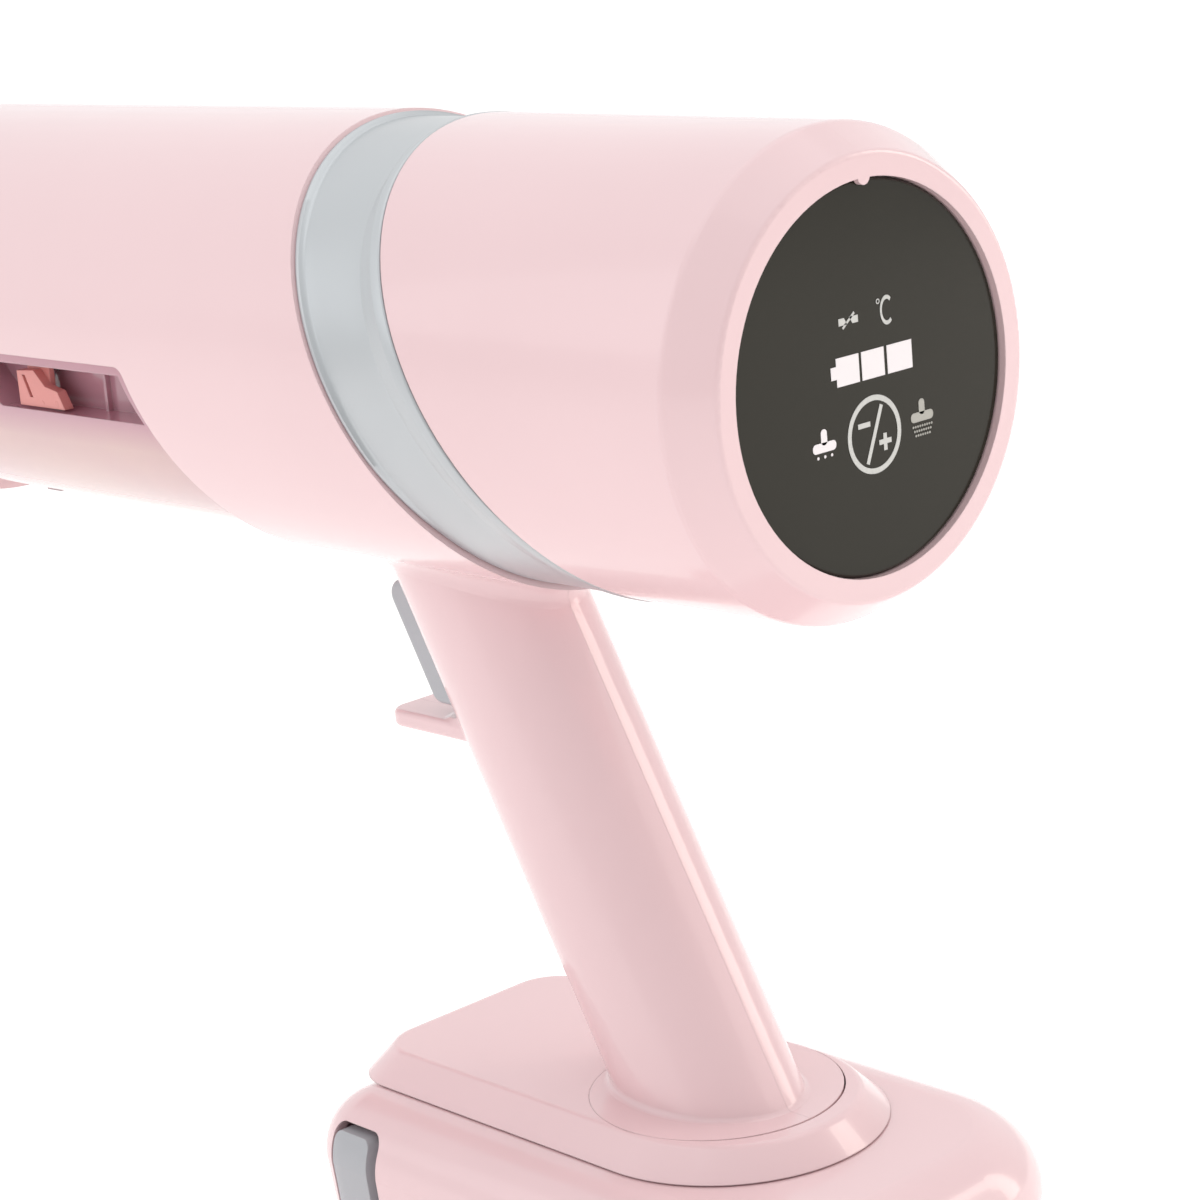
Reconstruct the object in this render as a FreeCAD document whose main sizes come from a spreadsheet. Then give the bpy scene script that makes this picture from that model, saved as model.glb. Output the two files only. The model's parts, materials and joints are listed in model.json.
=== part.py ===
import FreeCAD, Part
import math
import os
import re

import Sketcher

# Cordless garment steamer: a long round barrel with a display at its rear end and a wide
# steam head at its front, on a slanted pistol grip that stands on a slide-on battery pack.
# +X points to the rear (the display), -X to the steam head, +Z up. The origin is the
# centre of the battery pack's flat underside. Millimetres.

Vector, Rotation, Placement = FreeCAD.Vector, FreeCAD.Rotation, FreeCAD.Placement
doc = FreeCAD.newDocument("garment_steamer")

# ---------------------------------------------------------------- driving dimensions

DIMENSIONS = [
    # barrel
    ("axis_height", 204.0, "barrel axis above the table"),
    ("barrel_r", 44.4, "outer radius of the front barrel"),
    ("barrel_front", -212.0, "front end of the clamshell barrel"),
    ("shell", 2.6, "wall of the moulded shells"),
    ("rear_x", 61.5, "rear face of the display bezel"),
    ("cap_front_r", 44.0, "rear cap radius beside the trim ring"),
    ("cap_rear_r", 43.2, "rear cap radius beside its chamfer"),
    ("bezel_r", 38.2, "radius of the flat bezel"),
    ("chamfer_len", 8.2, "length of the bezel chamfer along the barrel"),
    ("display_r", 34.0, "radius of the display lens opening"),
    ("lens_recess", 1.2, "lens below the bezel"),
    ("lens_t", 2.0, "lens thickness"),
    ("ring_front", -33.7, "front edge of the trim ring, on the axis"),
    ("ring_front_lean", 28.94, "lean of that edge"),
    ("ring_rear", -8.2, "rear edge of the trim ring, on the axis"),
    ("ring_rear_lean", 30.33, "lean of that edge"),
    ("ring_r", 43.9, "radius of the trim ring's two rims"),
    ("ring_band_r", 43.0, "radius of the sunken band between them"),
    ("ring_step_r", 43.5, "radius of the half-sunken crescent behind it"),
    ("ring_step", -18.4, "front edge of that crescent, on the axis"),
    ("ring_step_lean", 24.08, "lean of that edge"),
    ("spigot_r", 41.0, "spigot of the shells inside ring and cap"),
    # bay and tank
    ("bay_top", 203.3, "upper edge of the tank bay"),
    ("bay_rear", -97.9, "rear edge of the tank bay, on the axis"),
    ("bay_lean", 23.2, "lean of that edge"),
    ("bay_front", -207.0, "front edge of the tank bay"),
    ("tank_r", 41.5, "outer radius of the water tank"),
    ("tank_wall", 2.0, "wall of the water tank"),
    ("tank_gap", 0.4, "gap round the tank"),
    ("pocket_front", -150.0, "front end of the latch pockets"),
    ("pocket_rim", 5.9, "tank wall left between a latch pocket and the tank's rear end"),
    ("pocket_low", 190.7, "floor of the latch pockets"),
    ("pocket_high", 200.7, "top of the latch pockets"),
    ("pocket_depth_y", 32.2, "back wall of the latch pockets from the middle"),
    ("latch_x", -139.0, "middle of the latches"),
    ("latch_width", 8.0, "width of a latch"),
    ("valve_x", -108.0, "tank outlet"),
    ("plug_x", -188.5, "tank filler plug"),
    # grip
    ("grip_x", -15.0, "a point on the grip's axis"),
    ("grip_z", 103.3, "its height"),
    ("grip_lean", 27.77, "lean of the grip"),
    ("grip_depth", 37.4, "front to back"),
    ("grip_width", 31.6, "side to side"),
    ("rest_z", 128.0, "top of the finger rest"),
    ("rest_tip", -70.2, "blunt tip of the finger rest"),
    ("rest_width", 16.4, "width of the finger rest"),
    ("rest_t", 3.6, "thickness of the finger rest"),
    ("trigger_base", 130.8, "height of the trigger's level lower end"),
    ("trigger_high", 69.2, "trigger's upper end along the grip axis"),
    ("trigger_width", 13.8, "trigger's width"),
    ("trigger_proud", 4.9, "trigger in front of the grip"),
    ("pin_r", 1.5, "trigger pin radius"),
    # foot
    ("foot_top", 61.7, "top of the foot"),
    ("flange_x", 9.0, "centre of the grip's round flange"),
    ("flange_r", 24.6, "radius of the flange"),
    ("flange_t", 3.4, "thickness of the flange"),
    ("rail_neck", 38.0, "width of the rail's neck"),
    ("rail_width", 47.0, "width of the rail's foot"),
    ("rail_front", -64.0, "front end of the rail"),
    ("rail_rear", 28.0, "rear end of the rail"),
    # battery pack
    ("pack_len", 137.0, "battery pack length"),
    ("pack_width", 87.6, "battery pack width at its shoulder"),
    ("pack_high", 56.0, "battery pack height"),
    ("pack_edge", 12.6, "radius of its upper edge"),
    ("pack_parting", 24.0, "height of the pack's parting line"),
    ("pack_wall", 2.5, "wall of the pack"),
    ("cell_r", 9.15, "battery cell radius"),
    ("cell_len", 65.0, "battery cell length"),
    ("button_low", 27.5, "lower end of a release button"),
    ("button_high", 50.3, "its upper end"),
    ("button_front", -58.5, "its front end"),
    ("button_rear", -47.5, "its rear end"),
    # steam head
    ("neck_r", 28.0, "radius of the head's neck"),
    ("head_rear", -222.0, "rear end of the head housing"),
    ("head_front", -250.0, "front face of the head housing"),
    ("head_width", 118.0, "width of the head"),
    ("head_high", 66.0, "height of the head"),
    ("sole_t", 3.2, "thickness of the steam plate"),
    ("steam_z", 220.0, "height of the steam pipe"),
    ("pump_x", -62.0, "front end of the water pump"),
    ("boiler_front", -172.0, "front end of the boiler"),
    ("boiler_rear", -120.0, "rear end of the boiler"),
]

sheet = doc.addObject("Spreadsheet::Sheet", "Dim")
for row, (alias, size, note) in enumerate(DIMENSIONS, start=1):
    sheet.set(f"A{row}", note)
    sheet.set(f"B{row}", str(size))
    sheet.setAlias(f"B{row}", alias)
doc.recompute()

ALIASES = re.compile(r"\b(" + "|".join(alias for alias, _, _ in DIMENSIONS) + r")\b")


def bound(text):
    """An expression on the sheet, from plain words."""
    return ALIASES.sub(r"Dim.\1", str(text))


def value(text):
    """The number that such an expression gives."""
    return float(sheet.evalExpression(bound(text)))


# ---------------------------------------------------------------- modelling helpers

ALONG = {
    "Z": Rotation(),
    "X": Rotation(Vector(0, 1, 0), 90),
    "-X": Rotation(Vector(0, 1, 0), -90),
    "Y": Rotation(Vector(1, 0, 0), -90),
}
made = {}


def unique(name):
    """A free internal name for a construction object."""
    made[name] = made.get(name, 0) + 1
    return name if made[name] == 1 else f"{name}_{made[name]}"


def place(obj, at, rotation=Rotation()):
    """Put an object at a position given by sheet expressions."""
    obj.Placement = Placement(Vector(), rotation)
    for letter, text in zip("xyz", at):
        obj.setExpression(f"Placement.Base.{letter}", bound(text))
    return obj


def box(name, low, high):
    """A block between two corners given by sheet expressions."""
    obj = doc.addObject("Part::Box", unique(name))
    for prop, a, b in zip(("Length", "Width", "Height"), low, high):
        obj.setExpression(prop, bound(f"({b}) - ({a})"))
    return place(obj, low)


def rod(name, radius, start, length, along="X"):
    """A cylinder from start, of a given length, along an axis."""
    obj = doc.addObject("Part::Cylinder", unique(name))
    obj.setExpression("Radius", bound(radius))
    obj.setExpression("Height", bound(length))
    return place(obj, start, ALONG[along])


def fuse(name, *parts):
    obj = doc.addObject("Part::MultiFuse", unique(name))
    obj.Shapes = list(parts)
    return obj


def common(name, *parts):
    obj = doc.addObject("Part::MultiCommon", unique(name))
    obj.Shapes = list(parts)
    return obj


def cut(name, base, *tools):
    obj = doc.addObject("Part::Cut", unique(name))
    obj.Base = base
    obj.Tool = tools[0] if len(tools) == 1 else fuse(name + "_tools", *tools)
    return obj


def mirrored_y(name, source):
    """The same shape on the other side of the middle plane."""
    obj = doc.addObject("Part::Mirroring", unique(name))
    obj.Source = source
    obj.Base = Vector(0, 0, 0)
    obj.Normal = Vector(0, 1, 0)
    return obj


def feature(name, shape):
    obj = doc.addObject("Part::Feature", unique(name))
    obj.Shape = shape
    return obj


REACH = 400.0  # size of the blocks that stand for half spaces


def half_space(name, x_on_axis, lean, side):
    """Everything behind (side 1) or in front (side -1) of a plane that crosses the
    barrel axis at x_on_axis and leans towards the front with height by lean degrees."""
    obj = doc.addObject("Part::Box", unique(name))
    for prop in ("Length", "Width", "Height"):
        setattr(obj, prop, REACH)
    obj.Placement = Placement(Vector(), Rotation(Vector(0, 1, 0), -value(lean)))
    half = REACH / 2
    back = 0 if side > 0 else REACH
    s, c = f"sin(({lean}) * 1 deg)", f"cos(({lean}) * 1 deg)"
    obj.setExpression("Placement.Base.x", bound(f"({x_on_axis}) + {half} * {s} - {back} * {c}"))
    obj.setExpression("Placement.Base.y", f"{-half}")
    obj.setExpression("Placement.Base.z", bound(f"axis_height - {half} * {c} - {back} * {s}"))
    return obj


def in_grip(x, y, z, turn=Rotation()):
    """Placement in the grip's own frame: z up along the grip, -x to its front."""
    lean = Rotation(Vector(0, 1, 0), -value("grip_lean"))
    origin = Vector(value("grip_x"), 0, value("grip_z"))
    return Placement(origin, lean) * Placement(Vector(x, y, z), turn)


def grip_bar(name, depth, width, low, high):
    """A bar of oval section along the grip's axis."""
    oval = doc.addObject("Part::Ellipse", unique(name + "_oval"))
    oval.setExpression("MajorRadius", bound(f"({depth}) / 2"))
    oval.setExpression("MinorRadius", bound(f"({width}) / 2"))
    oval.Placement = in_grip(0, 0, value(low))
    bar = doc.addObject("Part::Extrusion", unique(name))
    bar.Base = oval
    bar.DirMode = "Normal"
    bar.Solid = True
    bar.setExpression("LengthFwd", bound(f"({high}) - ({low})"))
    return bar


def grip_box(name, low, high):
    """A block in the grip's own frame."""
    obj = doc.addObject("Part::Box", unique(name))
    for prop, a, b in zip(("Length", "Width", "Height"), low, high):
        obj.setExpression(prop, bound(f"({b}) - ({a})"))
    obj.Placement = in_grip(*(value(a) for a in low))
    return obj


def grip_rod(name, radius, x, z, y_low, y_high):
    """A cylinder across the grip, in the grip's own frame."""
    obj = doc.addObject("Part::Cylinder", unique(name))
    obj.setExpression("Radius", bound(radius))
    obj.setExpression("Height", bound(f"({y_high}) - ({y_low})"))
    obj.Placement = in_grip(value(x), value(y_low), value(z), ALONG["Y"])
    return obj


def turned(name, profile):
    """A body of revolution about the barrel axis: a closed outline of (x, radius)
    corners, each fixed to the sheet by two dimensions."""
    body = doc.addObject("PartDesign::Body", unique(name))
    sketch = body.newObject("Sketcher::SketchObject", unique(name + "_outline"))
    plane = next(p for p in body.Origin.OriginFeatures if p.Role == "XZ_Plane")
    sketch.AttachmentSupport = [(plane, "")]
    sketch.MapMode = "FlatFace"
    corners = [Vector(value(x), value(r), 0) for x, r in profile]
    count = len(corners)
    for i, corner in enumerate(corners):
        sketch.addGeometry(Part.LineSegment(corner, corners[(i + 1) % count]), False)
    for i in range(count):
        sketch.addConstraint(Sketcher.Constraint("Coincident", i, 2, (i + 1) % count, 1))
    for i, (x, r) in enumerate(profile):
        for kind, text in (("DistanceX", x), ("DistanceY", r)):
            index = sketch.addConstraint(Sketcher.Constraint(kind, -1, 1, i, 1, value(text)))
            sketch.setExpression(f"Constraints[{index}]", bound(text))
    spin = body.newObject("PartDesign::Revolution", unique(name + "_turn"))
    spin.Profile = sketch
    spin.ReferenceAxis = (sketch, ["H_Axis"])
    spin.Angle = 360.0
    body.setExpression("Placement.Base.z", bound("axis_height"))
    return body


def tube_along(points, radius, bend):
    """A round bar along straight runs that arcs join."""
    points = [Vector(*p) for p in points]
    edges, start = [], points[0]
    for before, corner, after in zip(points, points[1:], points[2:]):
        into = (corner - before).normalize()
        out = (after - corner).normalize()
        turn = into.getAngle(out)
        reach = bend * math.tan(turn / 2)
        first, last = corner - into * reach, corner + out * reach
        middle_way = (out - into).normalize()
        centre = corner + middle_way * (bend / math.cos(turn / 2))
        middle = centre - middle_way * bend
        edges.append(Part.LineSegment(start, first).toShape())
        edges.append(Part.Arc(first, middle, last).toShape())
        start = last
    edges.append(Part.LineSegment(start, points[-1]).toShape())
    path = Part.Wire(edges)
    ring = Part.Wire(Part.Circle(points[0], points[1] - points[0], radius).toShape())
    return path.makePipeShell([ring], True, False)


def coil(radius, wire, length, turns):
    """A compression spring along +Z from the origin."""
    helix = Part.makeHelix((length - 2 * wire) / turns, length - 2 * wire, radius)
    start = Vector(radius, 0, 0)
    ring = Part.Wire(Part.Circle(start, Vector(0, 1, 0), wire).toShape())
    spring = Part.Wire(helix).makePipeShell([ring], True, True)
    spring.translate(Vector(0, 0, wire))
    return spring


def rounded_outline(x_low, x_high, half, r_low, r_high, z):
    """A rectangle in plan with its own corner radius at each end."""
    corners = [
        (x_high - r_high, half - r_high, r_high, 0),
        (x_low + r_low, half - r_low, r_low, 90),
        (x_low + r_low, r_low - half, r_low, 180),
        (x_high - r_high, r_high - half, r_high, 270),
    ]
    arcs = []
    for x, y, radius, start in corners:
        points = [
            Vector(x + radius * math.cos(math.radians(a)), y + radius * math.sin(math.radians(a)), z)
            for a in (start, start + 45, start + 90)
        ]
        arcs.append((Part.Arc(*points).toShape(), points[0], points[2]))
    edges = []
    for i, (arc, _, end) in enumerate(arcs):
        edges.append(arc)
        following = arcs[(i + 1) % 4][1]
        if (end - following).Length > 1e-6:
            edges.append(Part.LineSegment(end, following).toShape())
    return Part.Wire(edges)


def side_prism(name, outline, y_low, y_high):
    """A block across the barrel: an outline of (x, z) corners between two heights of y."""
    corners = [Vector(value(x), y_low, value(z)) for x, z in outline]
    face = Part.Face(Part.makePolygon(corners + corners[:1]))
    return feature(name, face.extrude(Vector(0, y_high - y_low, 0)))


def head_outline(width, height, corner, x):
    """A rounded rectangle across the barrel, at x."""
    flat = rounded_outline(-height / 2, height / 2, width / 2, corner, corner, 0)
    flat.Placement = Placement(Vector(x, 0, value("axis_height")), Rotation(Vector(0, 1, 0), -90))
    return flat


def slab(width, height, corner, x, thickness):
    """A rounded rectangular plate across the barrel, from x forwards."""
    return Part.Face(head_outline(width, height, corner, x)).extrude(Vector(-thickness, 0, 0))


def rounded(name, source, radius, near):
    """Round the edges of a shape whose middle satisfies a test."""
    doc.recompute()
    fillet = doc.addObject("Part::Fillet", unique(name))
    fillet.Base = source
    edges = source.Shape.Edges
    fillet.Edges = [(i + 1, radius, radius) for i, edge in enumerate(edges) if near(edge)]
    doc.recompute()
    if fillet.Shape.isNull() or not fillet.Shape.isValid():
        raise RuntimeError(f"{name}: fillet failed")
    return fillet


parts = {}


def keep(node, obj):
    """Name a finished sub-part."""
    obj.Label = node
    parts[node] = obj
    return obj


# ---------------------------------------------------------------- clamshell housings

AXIS = "axis_height"
FOOT_SCREWS = [(x, y) for x in (-5, 23) for y in (-16, 16)]


def barrel_rod(name, radius, x_low, x_high):
    return rod(name, radius, (x_low, 0, AXIS), f"({x_high}) - ({x_low})")


def middle_of(edge):
    return edge.valueAt((edge.FirstParameter + edge.LastParameter) / 2)


def make_housings():
    """Barrel, grip, finger rest and foot flange, split down the middle plane."""
    barrel = common(
        "barrel_outside",
        barrel_rod("barrel_rod", "barrel_r", "barrel_front", "60"),
        half_space("ahead_of_ring", "ring_front", "ring_front_lean", -1),
    )
    grip = cut(
        "grip_outside",
        grip_bar("grip_bar", "grip_depth", "grip_width", "-62", "100"),
        box("below_flange", (-100, -60, 0), (100, 60, "foot_top - flange_t")),
    )
    flange = rod("flange", "flange_r", ("flange_x", 0, "foot_top - flange_t"), "flange_t", "Z")
    body = fuse("grip_and_barrel", barrel, grip, flange)

    foot_top, flange_r = value("foot_top"), value("flange_r")
    barrel_r, axis = value("barrel_r"), value("axis_height")

    def grip_root(edge):
        """The oval line where the grip leaves the barrel."""
        m = middle_of(edge)
        on_barrel = abs(math.hypot(m.y, m.z - axis) - barrel_r) < 0.01
        return on_barrel and m.z < axis - 30 and -80 < m.x < -20 and edge.Length < 150

    def grip_end(edge):
        """The oval line where the grip meets its flange."""
        m = middle_of(edge)
        inside = math.hypot(m.x - value("flange_x"), m.y) < flange_r - 0.5
        return abs(m.z - foot_top) < 0.01 and inside

    body = rounded("root_blend", body, 4.0, grip_root)
    body = rounded("flange_blend", body, 1.2, grip_end)

    rest = box("finger_rest", ("rest_tip", "-rest_width / 2", "rest_z - rest_t"),
               (-40, "rest_width / 2", "rest_z"))
    rest_tip, rest_low = value("rest_tip"), value("rest_z - rest_t")

    def rest_corner(edge):
        m = middle_of(edge)
        return abs(m.x - rest_tip) < 0.01 and abs(m.z - value("rest_z - rest_t / 2")) < 0.01

    def rest_rim(edge):
        m = middle_of(edge)
        return m.x < -40.5 and abs(m.z - value("rest_z - rest_t / 2")) > 1

    rest = rounded("rest_corners", rest, 4.0, rest_corner)
    rest = rounded("rest_rounded", rest, 1.1, rest_rim)
    outside = fuse("housing_outside", body, rest)

    def rest_root(edge):
        """The line under the finger rest where it leaves the grip."""
        m = middle_of(edge)
        return abs(m.z - rest_low) < 0.01 and m.x > -56 and abs(m.y) < 9

    outside = rounded("rest_blend", outside, 4.0, rest_root)

    # hollows
    grip_hollow = grip_bar("grip_hollow", "grip_depth - 2 * shell", "grip_width - 2 * shell", "-62", "100")
    bay_hollow = barrel_rod("bay_hollow", "barrel_r - shell", "barrel_front + 3", "-78")
    rear_hollow = barrel_rod("rear_hollow", "spigot_r - 0.8", "-78.5", "60")
    bay_opening = common(
        "bay_opening",
        half_space("ahead_of_bay_rear", "bay_rear", "bay_lean", -1),
        box("below_bay_top", ("bay_front", -60, "axis_height - 60"), (0, 60, "bay_top")),
    )
    bay_top = value("bay_top")

    def bay_corner(edge):
        m = middle_of(edge)
        return abs(m.z - bay_top) < 0.01 and abs(m.y) < 0.01 and m.x > value("bay_rear") - 5

    bay_opening = rounded("bay_opening_rounded", bay_opening, 3.0, bay_corner)
    steam_way = rod("steam_way", "6", ("barrel_front - 5", 0, "steam_z"), "13")
    shell = cut("housing_shell", outside, grip_hollow, bay_hollow, rear_hollow, bay_opening, steam_way)

    # walls and bosses inside
    spigot_blank = barrel_rod("spigot_blank", "spigot_r", "-52", "24")
    spigot_bore = barrel_rod("spigot_bore", "spigot_r - 2.2", "-53", "25")
    spigot = cut("spigot", spigot_blank, spigot_bore, grip_hollow)
    inside = barrel_rod("inside", "barrel_r - shell / 2", "barrel_front + 1", "-60")
    deck = box("deck", ("barrel_front + 1", -45, "axis_height"), ("bay_rear + 8", 45, "axis_height + 2"))
    rear_wall = common(
        "rear_wall",
        half_space("behind_tank", "bay_rear + 0.2", "bay_lean", 1),
        half_space("before_rear_wall", "bay_rear + 2.4", "bay_lean", -1),
        box("under_deck", (-110, -45, "axis_height - 45"), (-60, 45, "axis_height + 2")),
    )
    front_wall = box("front_wall", ("bay_front - 2", -45, "axis_height - 45"),
                     ("bay_front", 45, "axis_height + 2"))
    walls = common("walls", inside, fuse("wall_blank", deck, rear_wall, front_wall))

    bosses = [grip_rod("grip_boss", "3.6", "0", z, "-14", "14") for z in ("-30", "18")]
    bosses += [rod("barrel_boss", "4", (x, -22, "axis_height + 36"), "46", "Y") for x in (-90, -198)]
    boss_limits = fuse(
        "boss_limits",
        grip_bar("grip_limit", "grip_depth - shell", "grip_width - shell", "-62", "100"),
        barrel_rod("barrel_limit", "barrel_r - shell / 2", "barrel_front + 1", "-60"),
    )
    boss_stock = common("boss_stock", fuse("bosses", *bosses), boss_limits)
    lugs = [grip_box("pin_lug", ("-18", a, "61"), ("-9.5", b, "71"))
            for a, b in (("-13.5", "-7"), ("7", "13.5"))]
    lug_limit = grip_bar("lug_limit", "grip_depth - shell", "grip_width - shell", "40", "76")
    lug_stock = common("lug_stock", fuse("lugs", *lugs), lug_limit)

    full = fuse("housing_full", shell, spigot, walls, boss_stock, lug_stock)

    # openings through the finished shell
    holes = [
        common(
            "trigger_opening",
            grip_box("trigger_slot", ("-30", "-trigger_width / 2 - 0.4", "33"),
                     ("-9.6", "trigger_width / 2 + 0.4", "trigger_high + 0.6")),
            box("above_rest", (-100, -20, "rest_z + 0.6"), (0, 20, "axis_height")),
        ),
        grip_rod("pin_hole", "pin_r", "-14", "66", "-10", "10"),
        rod("valve_hole", "4.2", ("valve_x", 0, "axis_height - 1"), "6", "Z"),
        *[rod("foot_thread", "1.6", (x, y, "foot_top - 10"), "9.2", "Z") for x, y in FOOT_SCREWS],
    ]
    for side in (-1, 1):
        y = side * 34.6
        holes.append(box("latch_slot", ("latch_x - latch_width / 2 - 0.4", y - 2.3, "axis_height - 1"),
                         ("latch_x + latch_width / 2 + 0.4", y + 2.3, "axis_height + 5")))
    for z in ("-30", "18"):
        holes.append(grip_rod("grip_screw_hole", "1.6", "0", z, "-9", "30"))
        holes.append(grip_rod("grip_screw_recess", "3.1", "0", z, "9", "30"))
    for x in (-90, -198):
        holes.append(rod("barrel_screw_hole", "1.6", (x, -12, "axis_height + 36"), "60", "Y"))
        holes.append(rod("barrel_screw_recess", "3.1", (x, 12, "axis_height + 36"), "40", "Y"))
    full = cut("housing_open", full, *holes)

    left = common("left_half", full, box("left_side", (-300, -100, 0), (100, 0, 300)))
    right = common("right_half", full, box("right_side", (-300, 0, 0), (100, 100, 300)))
    keep("left_housing", left)
    keep("right_housing", right)


def make_screws():
    """Screws that hold the two halves together, driven from the right."""
    screws = []
    for z in ("-30", "18"):
        screws.append(fuse("grip_screw", grip_rod("shank", "1.6", "0", z, "-8.5", "9.1"),
                           grip_rod("screw_head", "2.8", "0", z, "9", "11.4")))
    for x in (-90, -198):
        screws.append(fuse("barrel_screw", rod("shank", "1.6", (x, -11, "axis_height + 36"), "23.1", "Y"),
                           rod("screw_head", "2.8", (x, 12, "axis_height + 36"), "2.4", "Y")))
    doc.recompute()
    keep("housing_screws", feature("housing_screws", Part.makeCompound([s.Shape for s in screws])))


# ---------------------------------------------------------------- rear cap and display

def make_rear_end():
    lens_rear = "rear_x - lens_recess"
    seat = "rear_x - lens_recess - lens_t"
    cap = turned("cap_turned", [
        ("-60", "cap_front_r"),
        ("rear_x - chamfer_len", "cap_rear_r"),
        ("rear_x", "bezel_r"),
        ("rear_x", "display_r"),
        (seat, "display_r"),
        (seat, "display_r - 2.5"),
        (f"{seat} - 1.5", "display_r - 2.5"),
        (f"{seat} - 1.5", "display_r + 3"),
        (f"{seat} - 6.3", "spigot_r - 0.6"),
        (f"{seat} - 6.3", "spigot_r + 0.2"),
        ("-60", "spigot_r + 0.2"),
    ])
    nub = rod("bezel_nub", "1.5", ("rear_x - 1.1", 0, "axis_height + display_r + 0.3"), "1.1")
    behind_ring = half_space("behind_ring", "ring_rear + 0.2", "ring_rear_lean", 1)

    def circle_at(x, radius):
        """A test for the edge that runs round the cap at x."""
        x, radius = value(x), value(radius)
        return lambda e: abs(e.BoundBox.XMin - x) < 0.01 and abs(e.BoundBox.ZLength - 2 * radius) < 0.1

    cap = rounded("cap_creases", cap, 2.2, circle_at("rear_x - chamfer_len", "cap_rear_r"))
    cap = rounded("bezel_creases", cap, 1.2, circle_at("rear_x", "bezel_r"))
    keep("rear_cap", common("rear_cap_cut", fuse("cap_with_nub", cap, nub), behind_ring))

    blank = barrel_rod("ring_blank", "ring_r", "-80", "40")
    slab_front = half_space("ring_from", "ring_front + 0.1", "ring_front_lean", 1)
    slab_rear = half_space("ring_to", "ring_rear - 0.1", "ring_rear_lean", -1)
    bore = barrel_rod("ring_bore", "spigot_r + 0.05", "-90", "50")
    sunken = []
    for name, floor, front, rear in (
        ("band", "ring_band_r", ("ring_front + 1.9", "ring_front_lean"), ("ring_step", "ring_step_lean")),
        ("crescent", "ring_step_r", ("ring_step - 0.1", "ring_step_lean"),
         ("ring_rear - 3.2", "ring_rear_lean")),
    ):
        space = cut(name + "_space", barrel_rod(name + "_outer", "60", "-85", "45"),
                    barrel_rod(name + "_floor", floor, "-86", "46"))
        sunken.append(common(name, space, half_space(name + "_from", *front, 1),
                             half_space(name + "_to", *rear, -1)))
    ring = common("ring_slab", blank, slab_front, slab_rear)
    keep("trim_ring", cut("trim_ring_cut", ring, bore, *sunken))

    lens = turned("lens_turned", [
        (seat, "0"), (lens_rear, "0"), (lens_rear, "display_r - 0.6"),
        (f"{lens_rear} - 0.4", "display_r - 0.15"), (seat, "display_r - 0.15"),
    ])
    keep("display_lens", lens)

    board_x = f"{seat} - 3.4"
    board = fuse(
        "display_board_blank",
        barrel_rod("display_disc", "display_r - 1.5", board_x, f"{board_x} + 1.6"),
        box("display_driver", (f"{board_x} - 3", -9, "axis_height - 9"), (board_x, 9, "axis_height + 9")),
    )
    keep("display_board", board)


# ---------------------------------------------------------------- works inside the barrel

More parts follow.
